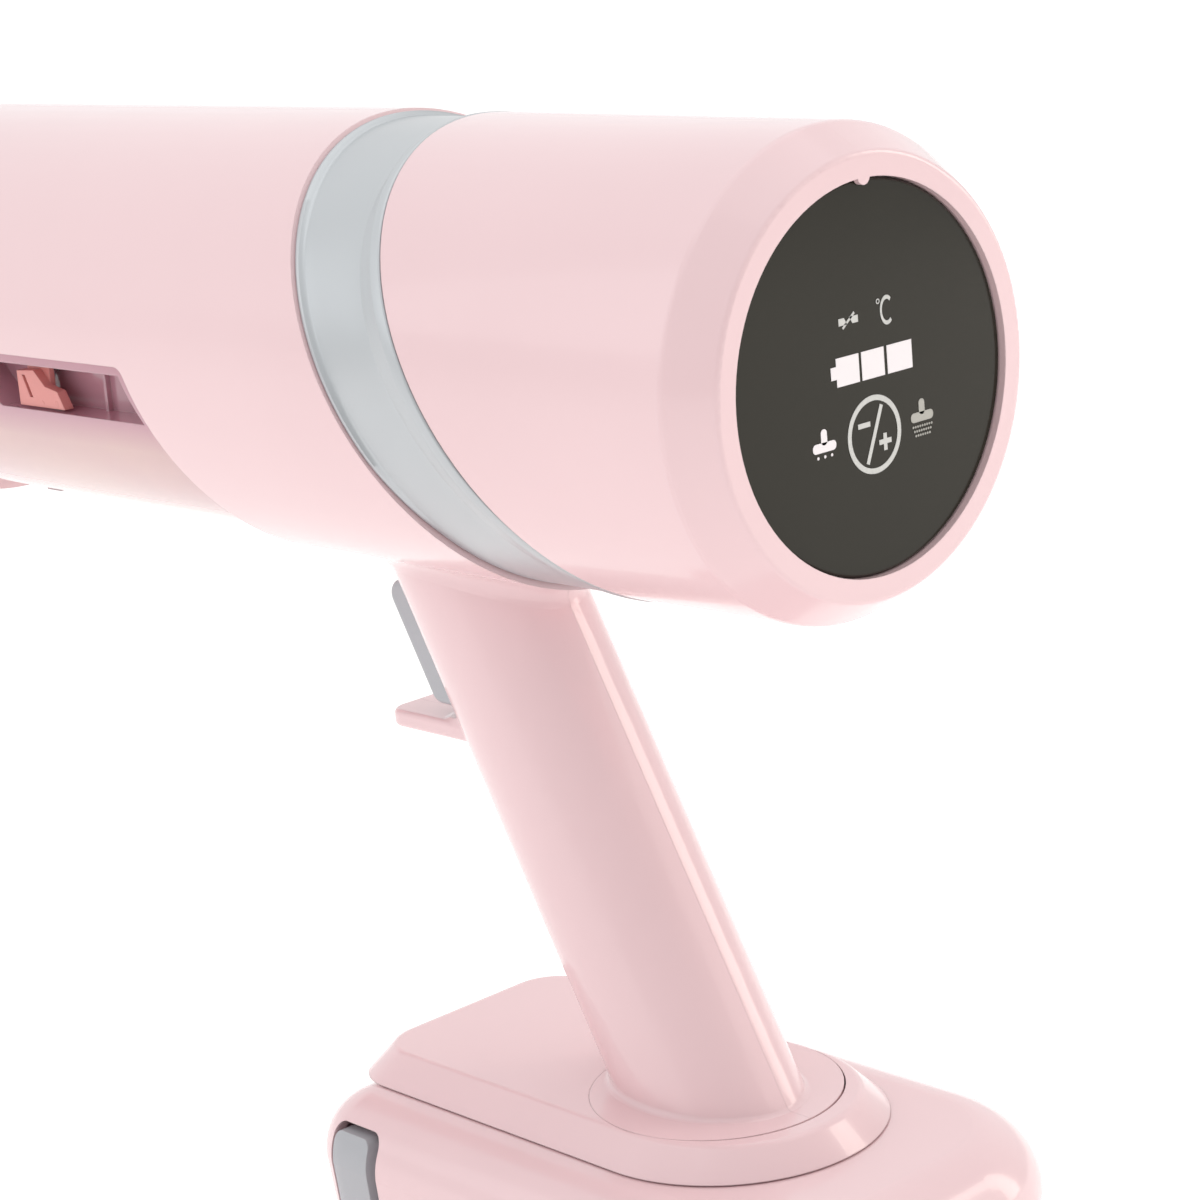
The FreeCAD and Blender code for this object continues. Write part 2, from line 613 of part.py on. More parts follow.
def make_works():
    low = "axis_height - 6"
    board = box("control_pcb", (-20, -27, low), (46, 27, f"{low} + 1.6"))
    fitted = [
        rod("capacitor", "5", (x, y, f"{low} + 1.6"), "14", "Z") for x, y in ((-8, -16), (-8, 16), (6, 16))
    ]
    fitted += [
        box("coil_core", (14, -20, f"{low} + 1.6"), (34, -2, f"{low} + 13")),
        box("driver_chip", (22, 6, f"{low} + 1.6"), (34, 18, f"{low} + 4")),
        box("heat_sink", (-2, -8, f"{low} - 8"), (30, 8, low)),
    ]
    keep("control_board", fuse("control_board_fitted", board, *fitted))

    pump_z = "axis_height + 20"
    pump = fuse(
        "pump_fitted",
        rod("pump_can", "14", ("pump_x", 4, pump_z), "34"),
        rod("pump_end", "11", ("pump_x + 34", 4, pump_z), "8"),
        rod("pump_inlet", "2.2", ("pump_x - 4", 0, pump_z), "5"),
        rod("pump_outlet", "2.2", ("pump_x - 4", 9, pump_z), "5"),
    )
    keep("water_pump", pump)

    middle = value("boiler_front + boiler_rear") / 2
    block = box("boiler_block", ("boiler_front", -23, "axis_height + 7"),
                ("boiler_rear", 23, "axis_height + 31"))
    block = rounded("boiler_rounded", block, 5.0, lambda e: abs(middle_of(e).x - middle) < 1)
    boiler = fuse(
        "boiler_fitted", block,
        rod("boiler_inlet", "2.2", ("boiler_rear - 1", 9, pump_z), "5"),
        rod("boiler_outlet", "5", ("boiler_front - 6", 0, "steam_z"), "8"),
        box("element_tag", ("boiler_rear - 1", -16, "axis_height + 16"),
            ("boiler_rear + 5", -10, "axis_height + 22")),
    )
    chamber = box("boiler_chamber", ("boiler_front + 7", -16, "axis_height + 13"),
                  ("boiler_rear - 7", 16, "axis_height + 25"))
    keep("boiler", cut("boiler_hollow", boiler, chamber))

    axis, valve_x, pump_x = value("axis_height"), value("valve_x"), value("pump_x")
    hose_r, barb_r, hose_z = 3.4, 2.2, value(pump_z)
    hose_end, boiler_end = pump_x - 0.2, value("boiler_rear") + 0.2
    suction = tube_along([(valve_x, 0, axis + 9), (valve_x, 0, hose_z), (hose_end, 0, hose_z)], hose_r, 7.0)
    pressure = tube_along([(hose_end, 9, hose_z), (boiler_end, 9, hose_z)], hose_r, 7.0)
    inlet = Part.makeCylinder(barb_r, 12, Vector(pump_x - 4, 0, hose_z), Vector(1, 0, 0))
    outlet = Part.makeCylinder(barb_r, 80, Vector(boiler_end - 8, 9, hose_z), Vector(1, 0, 0))
    stub = Part.makeCylinder(2.6, 8, Vector(valve_x, 0, axis + 4), Vector(0, 0, 1))
    keep("suction_hose", feature("suction_hose", suction.cut([inlet, stub])))
    keep("pressure_hose", feature("pressure_hose", pressure.cut([outlet])))
    pipe = rod("steam_pipe", "5", ("head_rear - 10", 0, "steam_z"), "boiler_front - 6.2 - (head_rear - 10)")
    bore = rod("steam_pipe_bore", "3.6", ("head_rear - 11", 0, "steam_z"), "100")
    keep("steam_tube", cut("steam_tube_bored", pipe, bore))

    valve = cut(
        "valve_bored",
        fuse("valve_blank", rod("valve_stem", "4", ("valve_x", 0, "axis_height - 7"), "11", "Z"),
             rod("valve_collar", "7", ("valve_x", 0, "axis_height + 2.1"), "2", "Z"),
             rod("valve_barb", "2.6", ("valve_x", 0, "axis_height + 4"), "7", "Z")),
        rod("valve_bore", "1.6", ("valve_x", 0, "axis_height - 8"), "20", "Z"),
    )
    keep("tank_valve", valve)

    # two leads from the foot's terminals up the grip to the control board
    bottom, top = in_grip(9, 0, -50).Base, in_grip(9, 0, 75).Base
    leads = []
    for y in (-4, 4):
        path = [
            (bottom.x, y, value("pack_high") - 2.2), (bottom.x, y, bottom.z),
            (top.x, y, top.z), (-21.4, y, axis - 6.0),
        ]
        leads.append(tube_along(path, 1.2, 9.0))
    keep("power_leads", feature("power_leads", Part.makeCompound(leads)))


# ---------------------------------------------------------------- trigger

def make_trigger():
    front = "-grip_depth / 2 - trigger_proud"
    blank = grip_box("trigger_blank", (front, "-trigger_width / 2", "33"),
                     ("-10.4", "trigger_width / 2", "trigger_high"))
    above = box("above_base", (-100, -20, "trigger_base"), (0, 20, "axis_height"))
    bar = common("trigger_bar", blank, above)
    face_x, corner = value(front), 3.2
    back = in_grip(0, 0, 0).inverse()

    def front_end(edge):
        m = back.multVec(middle_of(edge))
        return abs(m.x - face_x) < 0.01 and abs(m.y) < 0.01

    def side_rim(edge):
        """The front face's long edges and the arcs that continue them."""
        m = back.multVec(middle_of(edge))
        arc = abs(getattr(edge.Curve, "Radius", 0.0) - corner) < 0.01
        return abs(m.y) > 1 and (abs(m.x - face_x) < 0.01 or arc)

    bar = rounded("trigger_ends", bar, corner, front_end)
    bar = rounded("trigger_sides", bar, 1.2, side_rim)
    hollow = common(
        "trigger_hollow",
        grip_box("trigger_room", ("-18.4", "-trigger_width / 2 + 1.8", "33"),
                 ("-10", "trigger_width / 2 - 1.8", "61")),
        box("above_floor", (-100, -20, "trigger_base + 1.8"), (0, 20, "axis_height")),
    )
    bore = grip_rod("trigger_bore", "pin_r + 0.05", "-14", "66", "-8", "8")
    seat = grip_rod("spring_seat", "2.6", "-16", "52", "-5", "5")
    nose = grip_box("switch_nose", ("-19", "-2", "46"), ("-8.6", "2", "48"))
    shell = cut("trigger_shell", bar, hollow)
    keep("trigger", cut("trigger_bored", fuse("trigger_with_seat", shell, seat, nose), bore))
    keep("trigger_pin", grip_rod("trigger_pin", "pin_r", "-14", "66", "-9.8", "9.8"))
    switch = fuse("switch_fitted", grip_box("switch_case", ("-3", "-5", "44"), ("5", "5", "60")),
                  grip_box("switch_button", ("-6", "-1.5", "46"), ("-3", "1.5", "48")))
    keep("trigger_switch", switch)
    spring = coil(1.9, 0.35, 10.0, 6)
    spring.Placement = in_grip(-13.2, 0, 52, ALONG["X"])
    keep("trigger_spring", feature("trigger_spring", spring))


# ---------------------------------------------------------------- water tank

def make_tank():
    def lower_drum(name, inset, rear_gap, top, front_gap):
        return common(
            name,
            barrel_rod(name + "_drum", f"tank_r - {inset}", "-230", "-60"),
            half_space(name + "_rear", f"bay_rear - tank_gap - {rear_gap}", "bay_lean", -1),
            box(name + "_room", (f"bay_front + tank_gap + {front_gap}", -60, "axis_height - 60"),
                (0, 60, top)),
        )

    outer = lower_drum("tank_outside", "0", "0", "bay_top - 0.6", "0")
    inner = lower_drum("tank_inside", "tank_wall", "tank_wall", "bay_top - 0.6 - tank_wall", "tank_wall")
    shell = cut("tank_shell", outer, inner)

    # each pocket's front end leans; a rib stands on its back wall
    pocket = [("pocket_front", "pocket_low"), (-60, "pocket_low"),
              (-60, "pocket_high"), ("pocket_front - 12", "pocket_high")]
    around = [("pocket_front - 2.2", "pocket_low - 1.6"), (-60, "pocket_low - 1.6"),
              (-60, "bay_top - 0.6"), ("pocket_front - 16.6", "bay_top - 0.6")]
    back = value("pocket_depth_y")
    pocket_walls, pockets, ways, ribs = [], [], [], []
    for side in (-1, 1):
        y = side * 34.6
        pocket_walls.append(side_prism("pocket_lining", around, *sorted((side * (back - 1.6), side * 50))))
        pockets.append(side_prism("pocket", pocket, *sorted((side * back, side * 50))))
        rib_low, rib_high = sorted((side * (back - 0.8), side * (back + 1.2)))
        ribs.append(box("pocket_rib", (-120.2, rib_low, "pocket_low - 0.5"),
                        (-119.2, rib_high, "bay_top - 1")))
        ways.append(box("latch_way", ("latch_x - latch_width / 2 - 0.4", y - 2.3, "pocket_high - 1"),
                        ("latch_x + latch_width / 2 + 0.4", y + 2.3, "axis_height + 2")))
    lining = common("pocket_linings", outer, fuse("linings", *pocket_walls))
    pocket_end = half_space("pocket_end", "bay_rear - tank_gap - pocket_rim", "bay_lean", -1)
    pocket_space = common("pocket_space", fuse("pockets", *pockets), pocket_end)
    boss = rod("filler_boss", "8.4", ("plug_x", 0, "axis_height - 44"), "9", "Z")
    neck = common("filler_neck", outer, boss)
    with_pockets = fuse("tank_with_pockets", shell, lining, neck)
    holes = ways + [
        pocket_space,
        rod("filler_hole", "5.6", ("plug_x", 0, "axis_height - 50"), "20", "Z"),
        rod("filler_seat", "7.4", ("plug_x", 0, "axis_height - 50"), "10.1", "Z"),
        rod("outlet_hole", "4.4", ("valve_x", 0, "axis_height - 5"), "8", "Z"),
    ]
    keep("water_tank", fuse("water_tank_ribbed", cut("water_tank_open", with_pockets, *holes), *ribs))

    plug = fuse(
        "plug_turned",
        rod("plug_stem", "5.3", ("plug_x", 0, "axis_height - 40.4"), "5.9", "Z"),
        rod("plug_rim", "7", ("plug_x", 0, "axis_height - 41.3"), "1", "Z"),
        box("plug_tab", ("plug_x - 2.7", -4.8, "axis_height - 42.8"),
            ("plug_x + 2.7", 4.8, "axis_height - 41.2")),
    )
    keep("tank_plug", plug)

    x_low, x_high = "latch_x - latch_width / 2", "latch_x + latch_width / 2"
    pad = side_prism("latch_pad", [
        ("latch_x - 5.3", "pocket_low + 0.5"), ("latch_x - 5.3", "pocket_high - 2.2"),
        ("latch_x + 1", "pocket_high - 1.8"), ("latch_x + 4.6", "pocket_low + 5"),
        ("latch_x + 9", "pocket_low + 4.2"), ("latch_x + 11.2", "pocket_low + 0.5"),
    ], -38.4, -36.2)
    slot = side_prism("latch_window", [
        ("latch_x - 3.5", "pocket_high - 3"), ("latch_x - 2.4", "pocket_high - 3"),
        ("latch_x - 0.2", "pocket_low + 2.4"), ("latch_x - 1.3", "pocket_low + 2.4"),
    ], -40, -36)
    stem = box("latch_stem", (x_low, -36.4, "pocket_low + 4"), (x_high, -35.2, "axis_height + 3.6"))
    tooth = box("latch_tooth", (x_low, -38.0, "axis_height + 2.3"), (x_high, -35, "axis_height + 3.6"))
    left = cut("latch_left", fuse("latch_blank", pad, stem, tooth), slot)
    keep("tank_latch_left", left)
    keep("tank_latch_right", mirrored_y("latch_right", left))

    for side, node in ((-1, "latch_spring_left"), (1, "latch_spring_right")):
        spring = coil(1.3, 0.25, 2.7, 2)
        turn = Rotation(Vector(1, 0, 0), 90 if side < 0 else -90)
        spring.Placement = Placement(Vector(value("latch_x"), side * 32.4, value("pocket_low + 7")), turn)
        keep(node, feature(node, spring))

    ring = cut("seal_ring", rod("seal_blank", "6.6", ("valve_x", 0, "bay_top - 0.5"), "1.1", "Z"),
               rod("seal_bore", "4.05", ("valve_x", 0, "bay_top - 2"), "4", "Z"))
    keep("tank_seal", ring)


# ---------------------------------------------------------------- steam head

def make_head():
    neck_front = "head_rear + 2"
    mount = turned("head_mount_turned", [
        ("barrel_front - 0.1", "barrel_r - shell"), ("barrel_front - 0.1", "barrel_r"),
        ("barrel_front - 3", "barrel_r"), ("barrel_front - 4.6", "barrel_r - 1.6"),
        ("barrel_front - 9", "neck_r + 3"), ("head_rear", "neck_r + 1"), ("head_rear", "0"),
        ("head_rear + shell", "0"), ("head_rear + shell", "neck_r"), ("barrel_front - 4", "barrel_r - 4"),
    ])
    neck_way = rod("neck_way", "6.5", ("head_rear - 5", 0, "steam_z"), "20")
    keep("head_mount", cut("head_mount_bored", mount, neck_way))

    width, high = value("head_width"), value("head_high")
    rear, front = value("head_rear"), value("head_front")
    neck = 2 * value("neck_r")
    wall = value("shell")

    def bell(inset, x_rear, x_front):
        stages = [(0.0, 0.0), (0.1, 0.28), (0.42, 0.72), (0.8, 0.95), (1.0, 1.0)]
        reach = rear - 19 - x_rear
        sections = []
        for spread, way in stages:
            w = neck + (width - neck) * spread - 2 * inset
            h = neck + (high - neck) * spread - 2 * inset
            corner = neck / 2 - 0.5 + (20 - neck / 2 + 0.5) * spread - inset
            sections.append(head_outline(w, h, corner, x_rear + reach * way))
        flare = Part.makeLoft(sections, True, False)
        rim = slab(width - 2 * inset, high - 2 * inset, 20 - inset, rear - 19, rear - 19 - x_front)
        return flare.fuse(rim).removeSplitter()

    shell = bell(0.0, rear - 0.1, front).cut(bell(wall, rear - 3.0, front - 1))
    steam_z = value("steam_z")
    tube_hole = Part.makeCylinder(6, 12, Vector(rear - 8, 0, steam_z), Vector(1, 0, 0))
    keep("head_housing", feature("head_housing", shell.cut(tube_hole)))

    rim = slab(width - 2 * wall - 0.4, high - 2 * wall - 0.4, 17.2, front + 3, 3.2)
    keep("head_gasket", feature("head_gasket", rim.cut(slab(width - 14, high - 14, 13, front + 4, 6))))

    sole_rear = front - 0.3
    plate = slab(width - 3, high - 3, 18.5, sole_rear, value("sole_t"))
    front_face = sole_rear - value("sole_t")
    rim_edges = [e for e in plate.Edges if abs(middle_of(e).x - front_face) < 0.01]
    plate = plate.makeFillet(1.2, rim_edges)
    centre = value("axis_height")
    holes = []
    for ring, count in ((0.42, 10), (0.74, 16)):
        for i in range(count):
            angle = 2 * math.pi * i / count
            y = ring * width / 2 * math.cos(angle)
            z = centre + ring * high / 2 * math.sin(angle)
            holes.append(Part.makeCylinder(1.6, 10, Vector(front_face - 2, y, z), Vector(1, 0, 0)))
    keep("steam_plate", feature("steam_plate", plate.cut(holes)))

    chamber = slab(width - 2 * wall - 6, high - 2 * wall - 6, 14, front + 9, 5.4)
    chamber = chamber.fuse(Part.makeCylinder(7, 8, Vector(front + 8.5, 0, steam_z), Vector(1, 0, 0)))
    hollow = slab(width - 2 * wall - 10, high - 2 * wall - 10, 12, front + 7, 4.4)
    bore = Part.makeCylinder(5.05, 14, Vector(front + 6, 0, steam_z), Vector(1, 0, 0))
    keep("steam_chamber", feature("steam_chamber", chamber.cut([hollow, bore])))


# ---------------------------------------------------------------- foot

def make_foot():
    top, low = value("foot_top"), value("pack_high") + 0.3
    upper = rounded_outline(-64.3, 37.9, 24.8, 10.0, 24.7, top)
    lower = rounded_outline(-67.7, 42.8, 30.9, 12.0, 30.8, low)
    skirt = Part.makeLoft([lower, upper], True, True)
    skirt = skirt.makeFillet(1.8, [e for e in skirt.Edges if abs(middle_of(e).z - top) < 0.01])
    skirt = feature("foot_skirt", skirt)
    neck = box("rail_neck_block", ("rail_front", "-rail_neck / 2", "pack_high - 4"),
               ("rail_rear", "rail_neck / 2", low + 1))
    rail = box("rail_block", ("rail_front", "-rail_width / 2", "pack_high - 9"),
               ("rail_rear", "rail_width / 2", "pack_high - 4"))
    body = fuse("foot_blank", skirt, neck, rail)
    seat = rod("flange_seat", "flange_r + 0.04", ("flange_x + 0.02", 0, "foot_top - flange_t"), "20", "Z")
    seat_gap = rod("flange_rear_gap", "flange_r - 0.25",
                   ("flange_x + 0.75", 0, "foot_top - flange_t"), "20", "Z")
    lead_way = box("lead_way", (-6, -8, "pack_high - 12"), (26, 8, "foot_top"))
    contact_room = box("contact_room", (11, -13, "pack_high - 12"), (40, 13, "pack_high - 2"))
    screw_holes = [rod("foot_screw_hole", "1.6", (x, y, 30), "40", "Z") for x, y in FOOT_SCREWS]
    screw_holes += [rod("foot_screw_recess", "3.1", (x, y, 30), "19.2", "Z") for x, y in FOOT_SCREWS]
    keep("foot_cradle", cut("foot_cut", body, seat, seat_gap, lead_way, contact_room, *screw_holes))

    case = box("terminal_case", (12.2, -12.6, "pack_high - 8.6"), (27, 12.6, "pack_high - 2.4"))
    blades = [box("blade", (20, y - 0.5, "pack_high - 7.6"), (37, y + 0.5, "pack_high - 3.4"))
              for y in (-8, 0, 8)]
    keep("terminal_block", fuse("terminal_block_fitted", case, *blades))

    screws = []
    for x, y in FOOT_SCREWS:
        shank = rod("foot_shank", "1.6", (x, y, 49.2), "foot_top - 0.8 - 49.2", "Z")
        head = rod("foot_screw_head", "2.9", (x, y, 47.2), "2", "Z")
        screws.append(fuse("foot_screw", shank, head))
    doc.recompute()
    keep("foot_screws", feature("foot_screws", Part.makeCompound([s.Shape for s in screws])))


# ---------------------------------------------------------------- battery pack

def pack_solid(inset, low, high, edge=0.0):
    """The pack's outside, or its hollow when inset: widest at its shoulder, drawn in
    towards the table, its upper edge rounded by a radius."""
    half_len, half = value("pack_len") / 2 - inset, value("pack_width") / 2 - inset
    shoulder = value("pack_high") - value("pack_edge")
    draft = math.tan(math.radians(4.6))

    def outline(z):
        inward = max(0.0, shoulder - z) * draft
        return rounded_outline(inward - half_len, half_len - inward, half - inward,
                               13.4 - inset - inward / 2, 31.0 - inset - inward / 2, z)

    lower = Part.makeLoft([outline(low), outline(min(shoulder, high))], True, True)
    if high <= shoulder:
        return lower
    upper = Part.Face(outline(shoulder)).extrude(Vector(0, 0, high - shoulder))
    if edge:
        upper = upper.makeFillet(edge, [e for e in upper.Edges if abs(middle_of(e).z - high) < 0.01])
    return lower.fuse(upper).removeSplitter()


def make_pack():
    wall, high, edge = value("pack_wall"), value("pack_high"), value("pack_edge")
    outside = pack_solid(0.0, 0.0, high, edge - 0.1)
    ceiling = high - 12.4
    room = pack_solid(wall, wall, ceiling)

    rail_space = [
        box("rail_neck_space", (-90, "-rail_neck / 2 - 0.4", "pack_high - 4.5"),
            (31, "rail_neck / 2 + 0.4", "pack_high + 5")),
        box("rail_space", (-90, "-rail_width / 2 - 0.4", "pack_high - 9.4"),
            (31, "rail_width / 2 + 0.4", "pack_high - 3.6")),
        box("contact_space", (30, -13.2, "pack_high - 9.4"), (52, 13.2, "pack_high - 2.2")),
    ]

    # wells for the release buttons: an opening in the wall and a wider space behind it
    mouth = box("button_mouth", ("button_front - 0.4", -60, "button_low - 0.4"),
                ("button_rear + 3.1", -30.4, "button_high + 1.7"))
    mouth = rounded("button_mouth_round", mouth, 3.0, lambda e: abs(middle_of(e).y + 45.2) < 0.1)
    behind = box("button_behind", ("button_front - 3.6", -60, "button_low - 2.6"),
                 ("button_rear + 5.4", -30.4, "button_high + 1.6"))
    inner = feature("button_limit", pack_solid(2.6, wall, high - 2.6, edge - 2.7))
    left_well = fuse("button_well", mouth, common("button_space", behind, inner))
    wells = [left_well, mirrored_y("button_well_right", left_well)]

    screw_places = [(x, y) for x in (-58, 54) for y in (-26, 26)]
    screw_ways = [rod("pack_screw_way", "1.6", (x, y, -1), "32", "Z") for x, y in screw_places]
    screw_ways += [rod("pack_screw_recess", "3.2", (x, y, -1), "4.4", "Z") for x, y in screw_places]
    pillars = [rod("pack_pillar", "4.2", (x, y, 1), "43", "Z") for x, y in screw_places]
    ribs = [box("spring_rib", (-60, y, 30), (-47.4, y + 1.4, 44)) for y in (-30.3, 28.9)]

    case = cut("pack_case_hollow", feature("pack_outside", outside), feature("pack_room", room), *wells)
    case = cut("pack_case_open", fuse("pack_case", case, *pillars, *ribs), *rail_space, *screw_ways)
    above = box("pack_above", (-100, -60, "pack_parting"), (100, 60, 100))
    below = box("pack_below", (-100, -60, -5), (100, 60, "pack_parting"))
    keep("pack_top", common("pack_top_half", case, above))
    keep("pack_bottom", common("pack_bottom_half", case, below))

    screws = []
    for x, y in screw_places:
        screws.append(fuse("pack_screw", rod("pack_screw_shank", "1.6", (x, y, 3.4), "24", "Z"),
                           rod("pack_screw_head", "3.0", (x, y, 1.0), "2.4", "Z")))
    doc.recompute()
    keep("pack_screws", feature("pack_screws", Part.makeCompound([s.Shape for s in screws])))

    pitch = 2 * value("cell_r") + 0.7
    cells, seats = [], []
    for row in range(5):
        for layer in range(2):
            x = 1.5 + (row - 2) * pitch
            z = wall + 1.2 + value("cell_r") + layer * (2 * value("cell_r") + 0.3)
            start = Vector(x, -value("cell_len") / 2, z)
            cells.append(Part.makeCylinder(value("cell_r"), value("cell_len"), start, Vector(0, 1, 0)))
            seats.append(Part.makeCylinder(6.0, 120, Vector(x, -60, z), Vector(0, 1, 0)))
    keep("battery_cells", feature("battery_cells", Part.makeCompound(cells)))

    plates = []
    for y in (-34.4, 32.8):
        plates.append(Part.makeBox(92, 1.6, 37.4, Vector(-44.5, y, wall + 1.0)).cut(seats))
    keep("cell_holder", feature("cell_holder", Part.makeCompound(plates)))
    keep("pack_board", box("pack_board", (-40, -24, 41.6), (44, 24, 43.2)))

    sockets = box("socket_case", (37.4, -12.8, "pack_high - 9.2"), (50, 12.8, "pack_high - 2.6"))
    nose = box("socket_nose", (31.2, -12.8, "pack_high - 9.2"), (38, 12.8, "pack_high - 2.6"))
    sockets = fuse("sockets", sockets, nose)
    blade_ways = [box("blade_way", (30, y - 0.9, "pack_high - 8"), (38.5, y + 0.9, "pack_high - 3"))
                  for y in (-8, 0, 8)]
    keep("pack_terminals", cut("pack_terminals_cut", sockets, *blade_ways))

    # a button's face follows the pack's surface; a flange behind the wall keeps it in
    block = box("button_block", ("button_front", -60, "button_low"), ("button_rear", -34.4, "button_high"))
    block = rounded("button_corners", block, 2.2, lambda e: abs(middle_of(e).y + 47.2) < 0.1)
    skin = feature("button_skin", pack_solid(0.15, 0.0, high - 0.15, edge - 0.25))
    block = common("button_outside", block, skin)
    flange = box("flange_block", ("button_front - 2.8", -60, "button_low - 1.8"),
                 ("button_rear + 4.6", -38.2, "button_high + 1.2"))
    skin = feature("flange_skin", pack_solid(3.2, wall, high - 3.2, edge - 3.3))
    flange = common("button_flange", flange, skin)
    hollow = box("button_hollow", ("button_front + 1.8", -40.2, "button_low + 1.8"),
                 ("button_rear - 1.8", -30, "button_high - 4"))
    post = rod("button_post", "1.5", ("(button_front + button_rear) / 2", -40.4, 38), "3", "Y")
    shell = cut("button_shell", fuse("button_blank", block, flange), hollow)
    button = fuse("button_with_post", shell, post)
    keep("release_button_left", button)
    keep("release_button_right", mirrored_y("button_right", button))

    for side, node in ((-1, "button_spring_left"), (1, "button_spring_right")):
        spring = coil(2.4, 0.35, 9.0, 5)
        turn = Rotation(Vector(1, 0, 0), 90 if side < 0 else -90)
        middle = value("(button_front + button_rear) / 2")
        spring.Placement = Placement(Vector(middle, side * 30.8, 38), turn)
        keep(node, feature(node, spring))


make_housings()
make_screws()
make_rear_end()
make_works()
make_trigger()
make_tank()
make_head()
make_foot()
make_pack()

# ---------------------------------------------------------------- checks and files

doc.recompute()
for obj in doc.Objects:
    if "Invalid" in obj.State or "Error" in obj.State:
        raise RuntimeError(f"{obj.Label} failed: {obj.State}")
os.makedirs("parts", exist_ok=True)
for node, obj in parts.items():
    shape = obj.Shape
    if shape.isNull() or not shape.isValid() or shape.Volume <= 0:
        raise RuntimeError(f"{node} has no valid shape")
    shape.exportStep(f"parts/{node}.step")
    print(f"{node}: {len(shape.Solids)} solids, {shape.Volume / 1000:.2f} cm3")
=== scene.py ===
import json
import math
import bmesh
import bpy
from mathutils import Matrix, Vector


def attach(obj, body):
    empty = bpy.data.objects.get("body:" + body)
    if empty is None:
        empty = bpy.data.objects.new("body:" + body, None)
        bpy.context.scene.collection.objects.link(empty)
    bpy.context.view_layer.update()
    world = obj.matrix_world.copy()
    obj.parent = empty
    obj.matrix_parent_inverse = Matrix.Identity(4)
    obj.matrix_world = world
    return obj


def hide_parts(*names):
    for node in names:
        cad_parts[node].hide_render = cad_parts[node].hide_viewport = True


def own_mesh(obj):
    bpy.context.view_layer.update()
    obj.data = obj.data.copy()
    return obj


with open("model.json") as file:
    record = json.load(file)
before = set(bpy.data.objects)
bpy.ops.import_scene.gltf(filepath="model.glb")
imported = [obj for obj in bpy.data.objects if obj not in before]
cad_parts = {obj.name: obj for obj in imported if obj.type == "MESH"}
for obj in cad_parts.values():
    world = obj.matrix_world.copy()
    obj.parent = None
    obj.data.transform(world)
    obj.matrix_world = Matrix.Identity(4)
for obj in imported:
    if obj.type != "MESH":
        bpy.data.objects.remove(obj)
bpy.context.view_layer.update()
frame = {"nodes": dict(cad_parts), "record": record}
nodes = frame["nodes"]

MM = 0.001
AXIS = 204.0 * MM  # height of the barrel's axis
DISPLAY_R = 34.0  # radius of the display, in mm
LENS_X = 60.3 + 0.03  # plane of the printed icons, just proud of the lens, in mm
GRAIN_DEPTH = 0.00003  # depth of a moulded surface's grain, in metres
POCKET_PAINTED_SHADE = (0.184, 0.1905)  # heights over which the tank's wall is painted mauve, a painted reflection and shade round the pockets, in metres


# ---------------------------------------------------------------- materials

def srgb(r, g, b):
    """Linear colour from 0-255 display values."""
    def lin(v):
        v /= 255.0
        return v / 12.92 if v <= 0.04045 else ((v + 0.055) / 1.055) ** 2.4
    return (lin(r), lin(g), lin(b), 1.0)


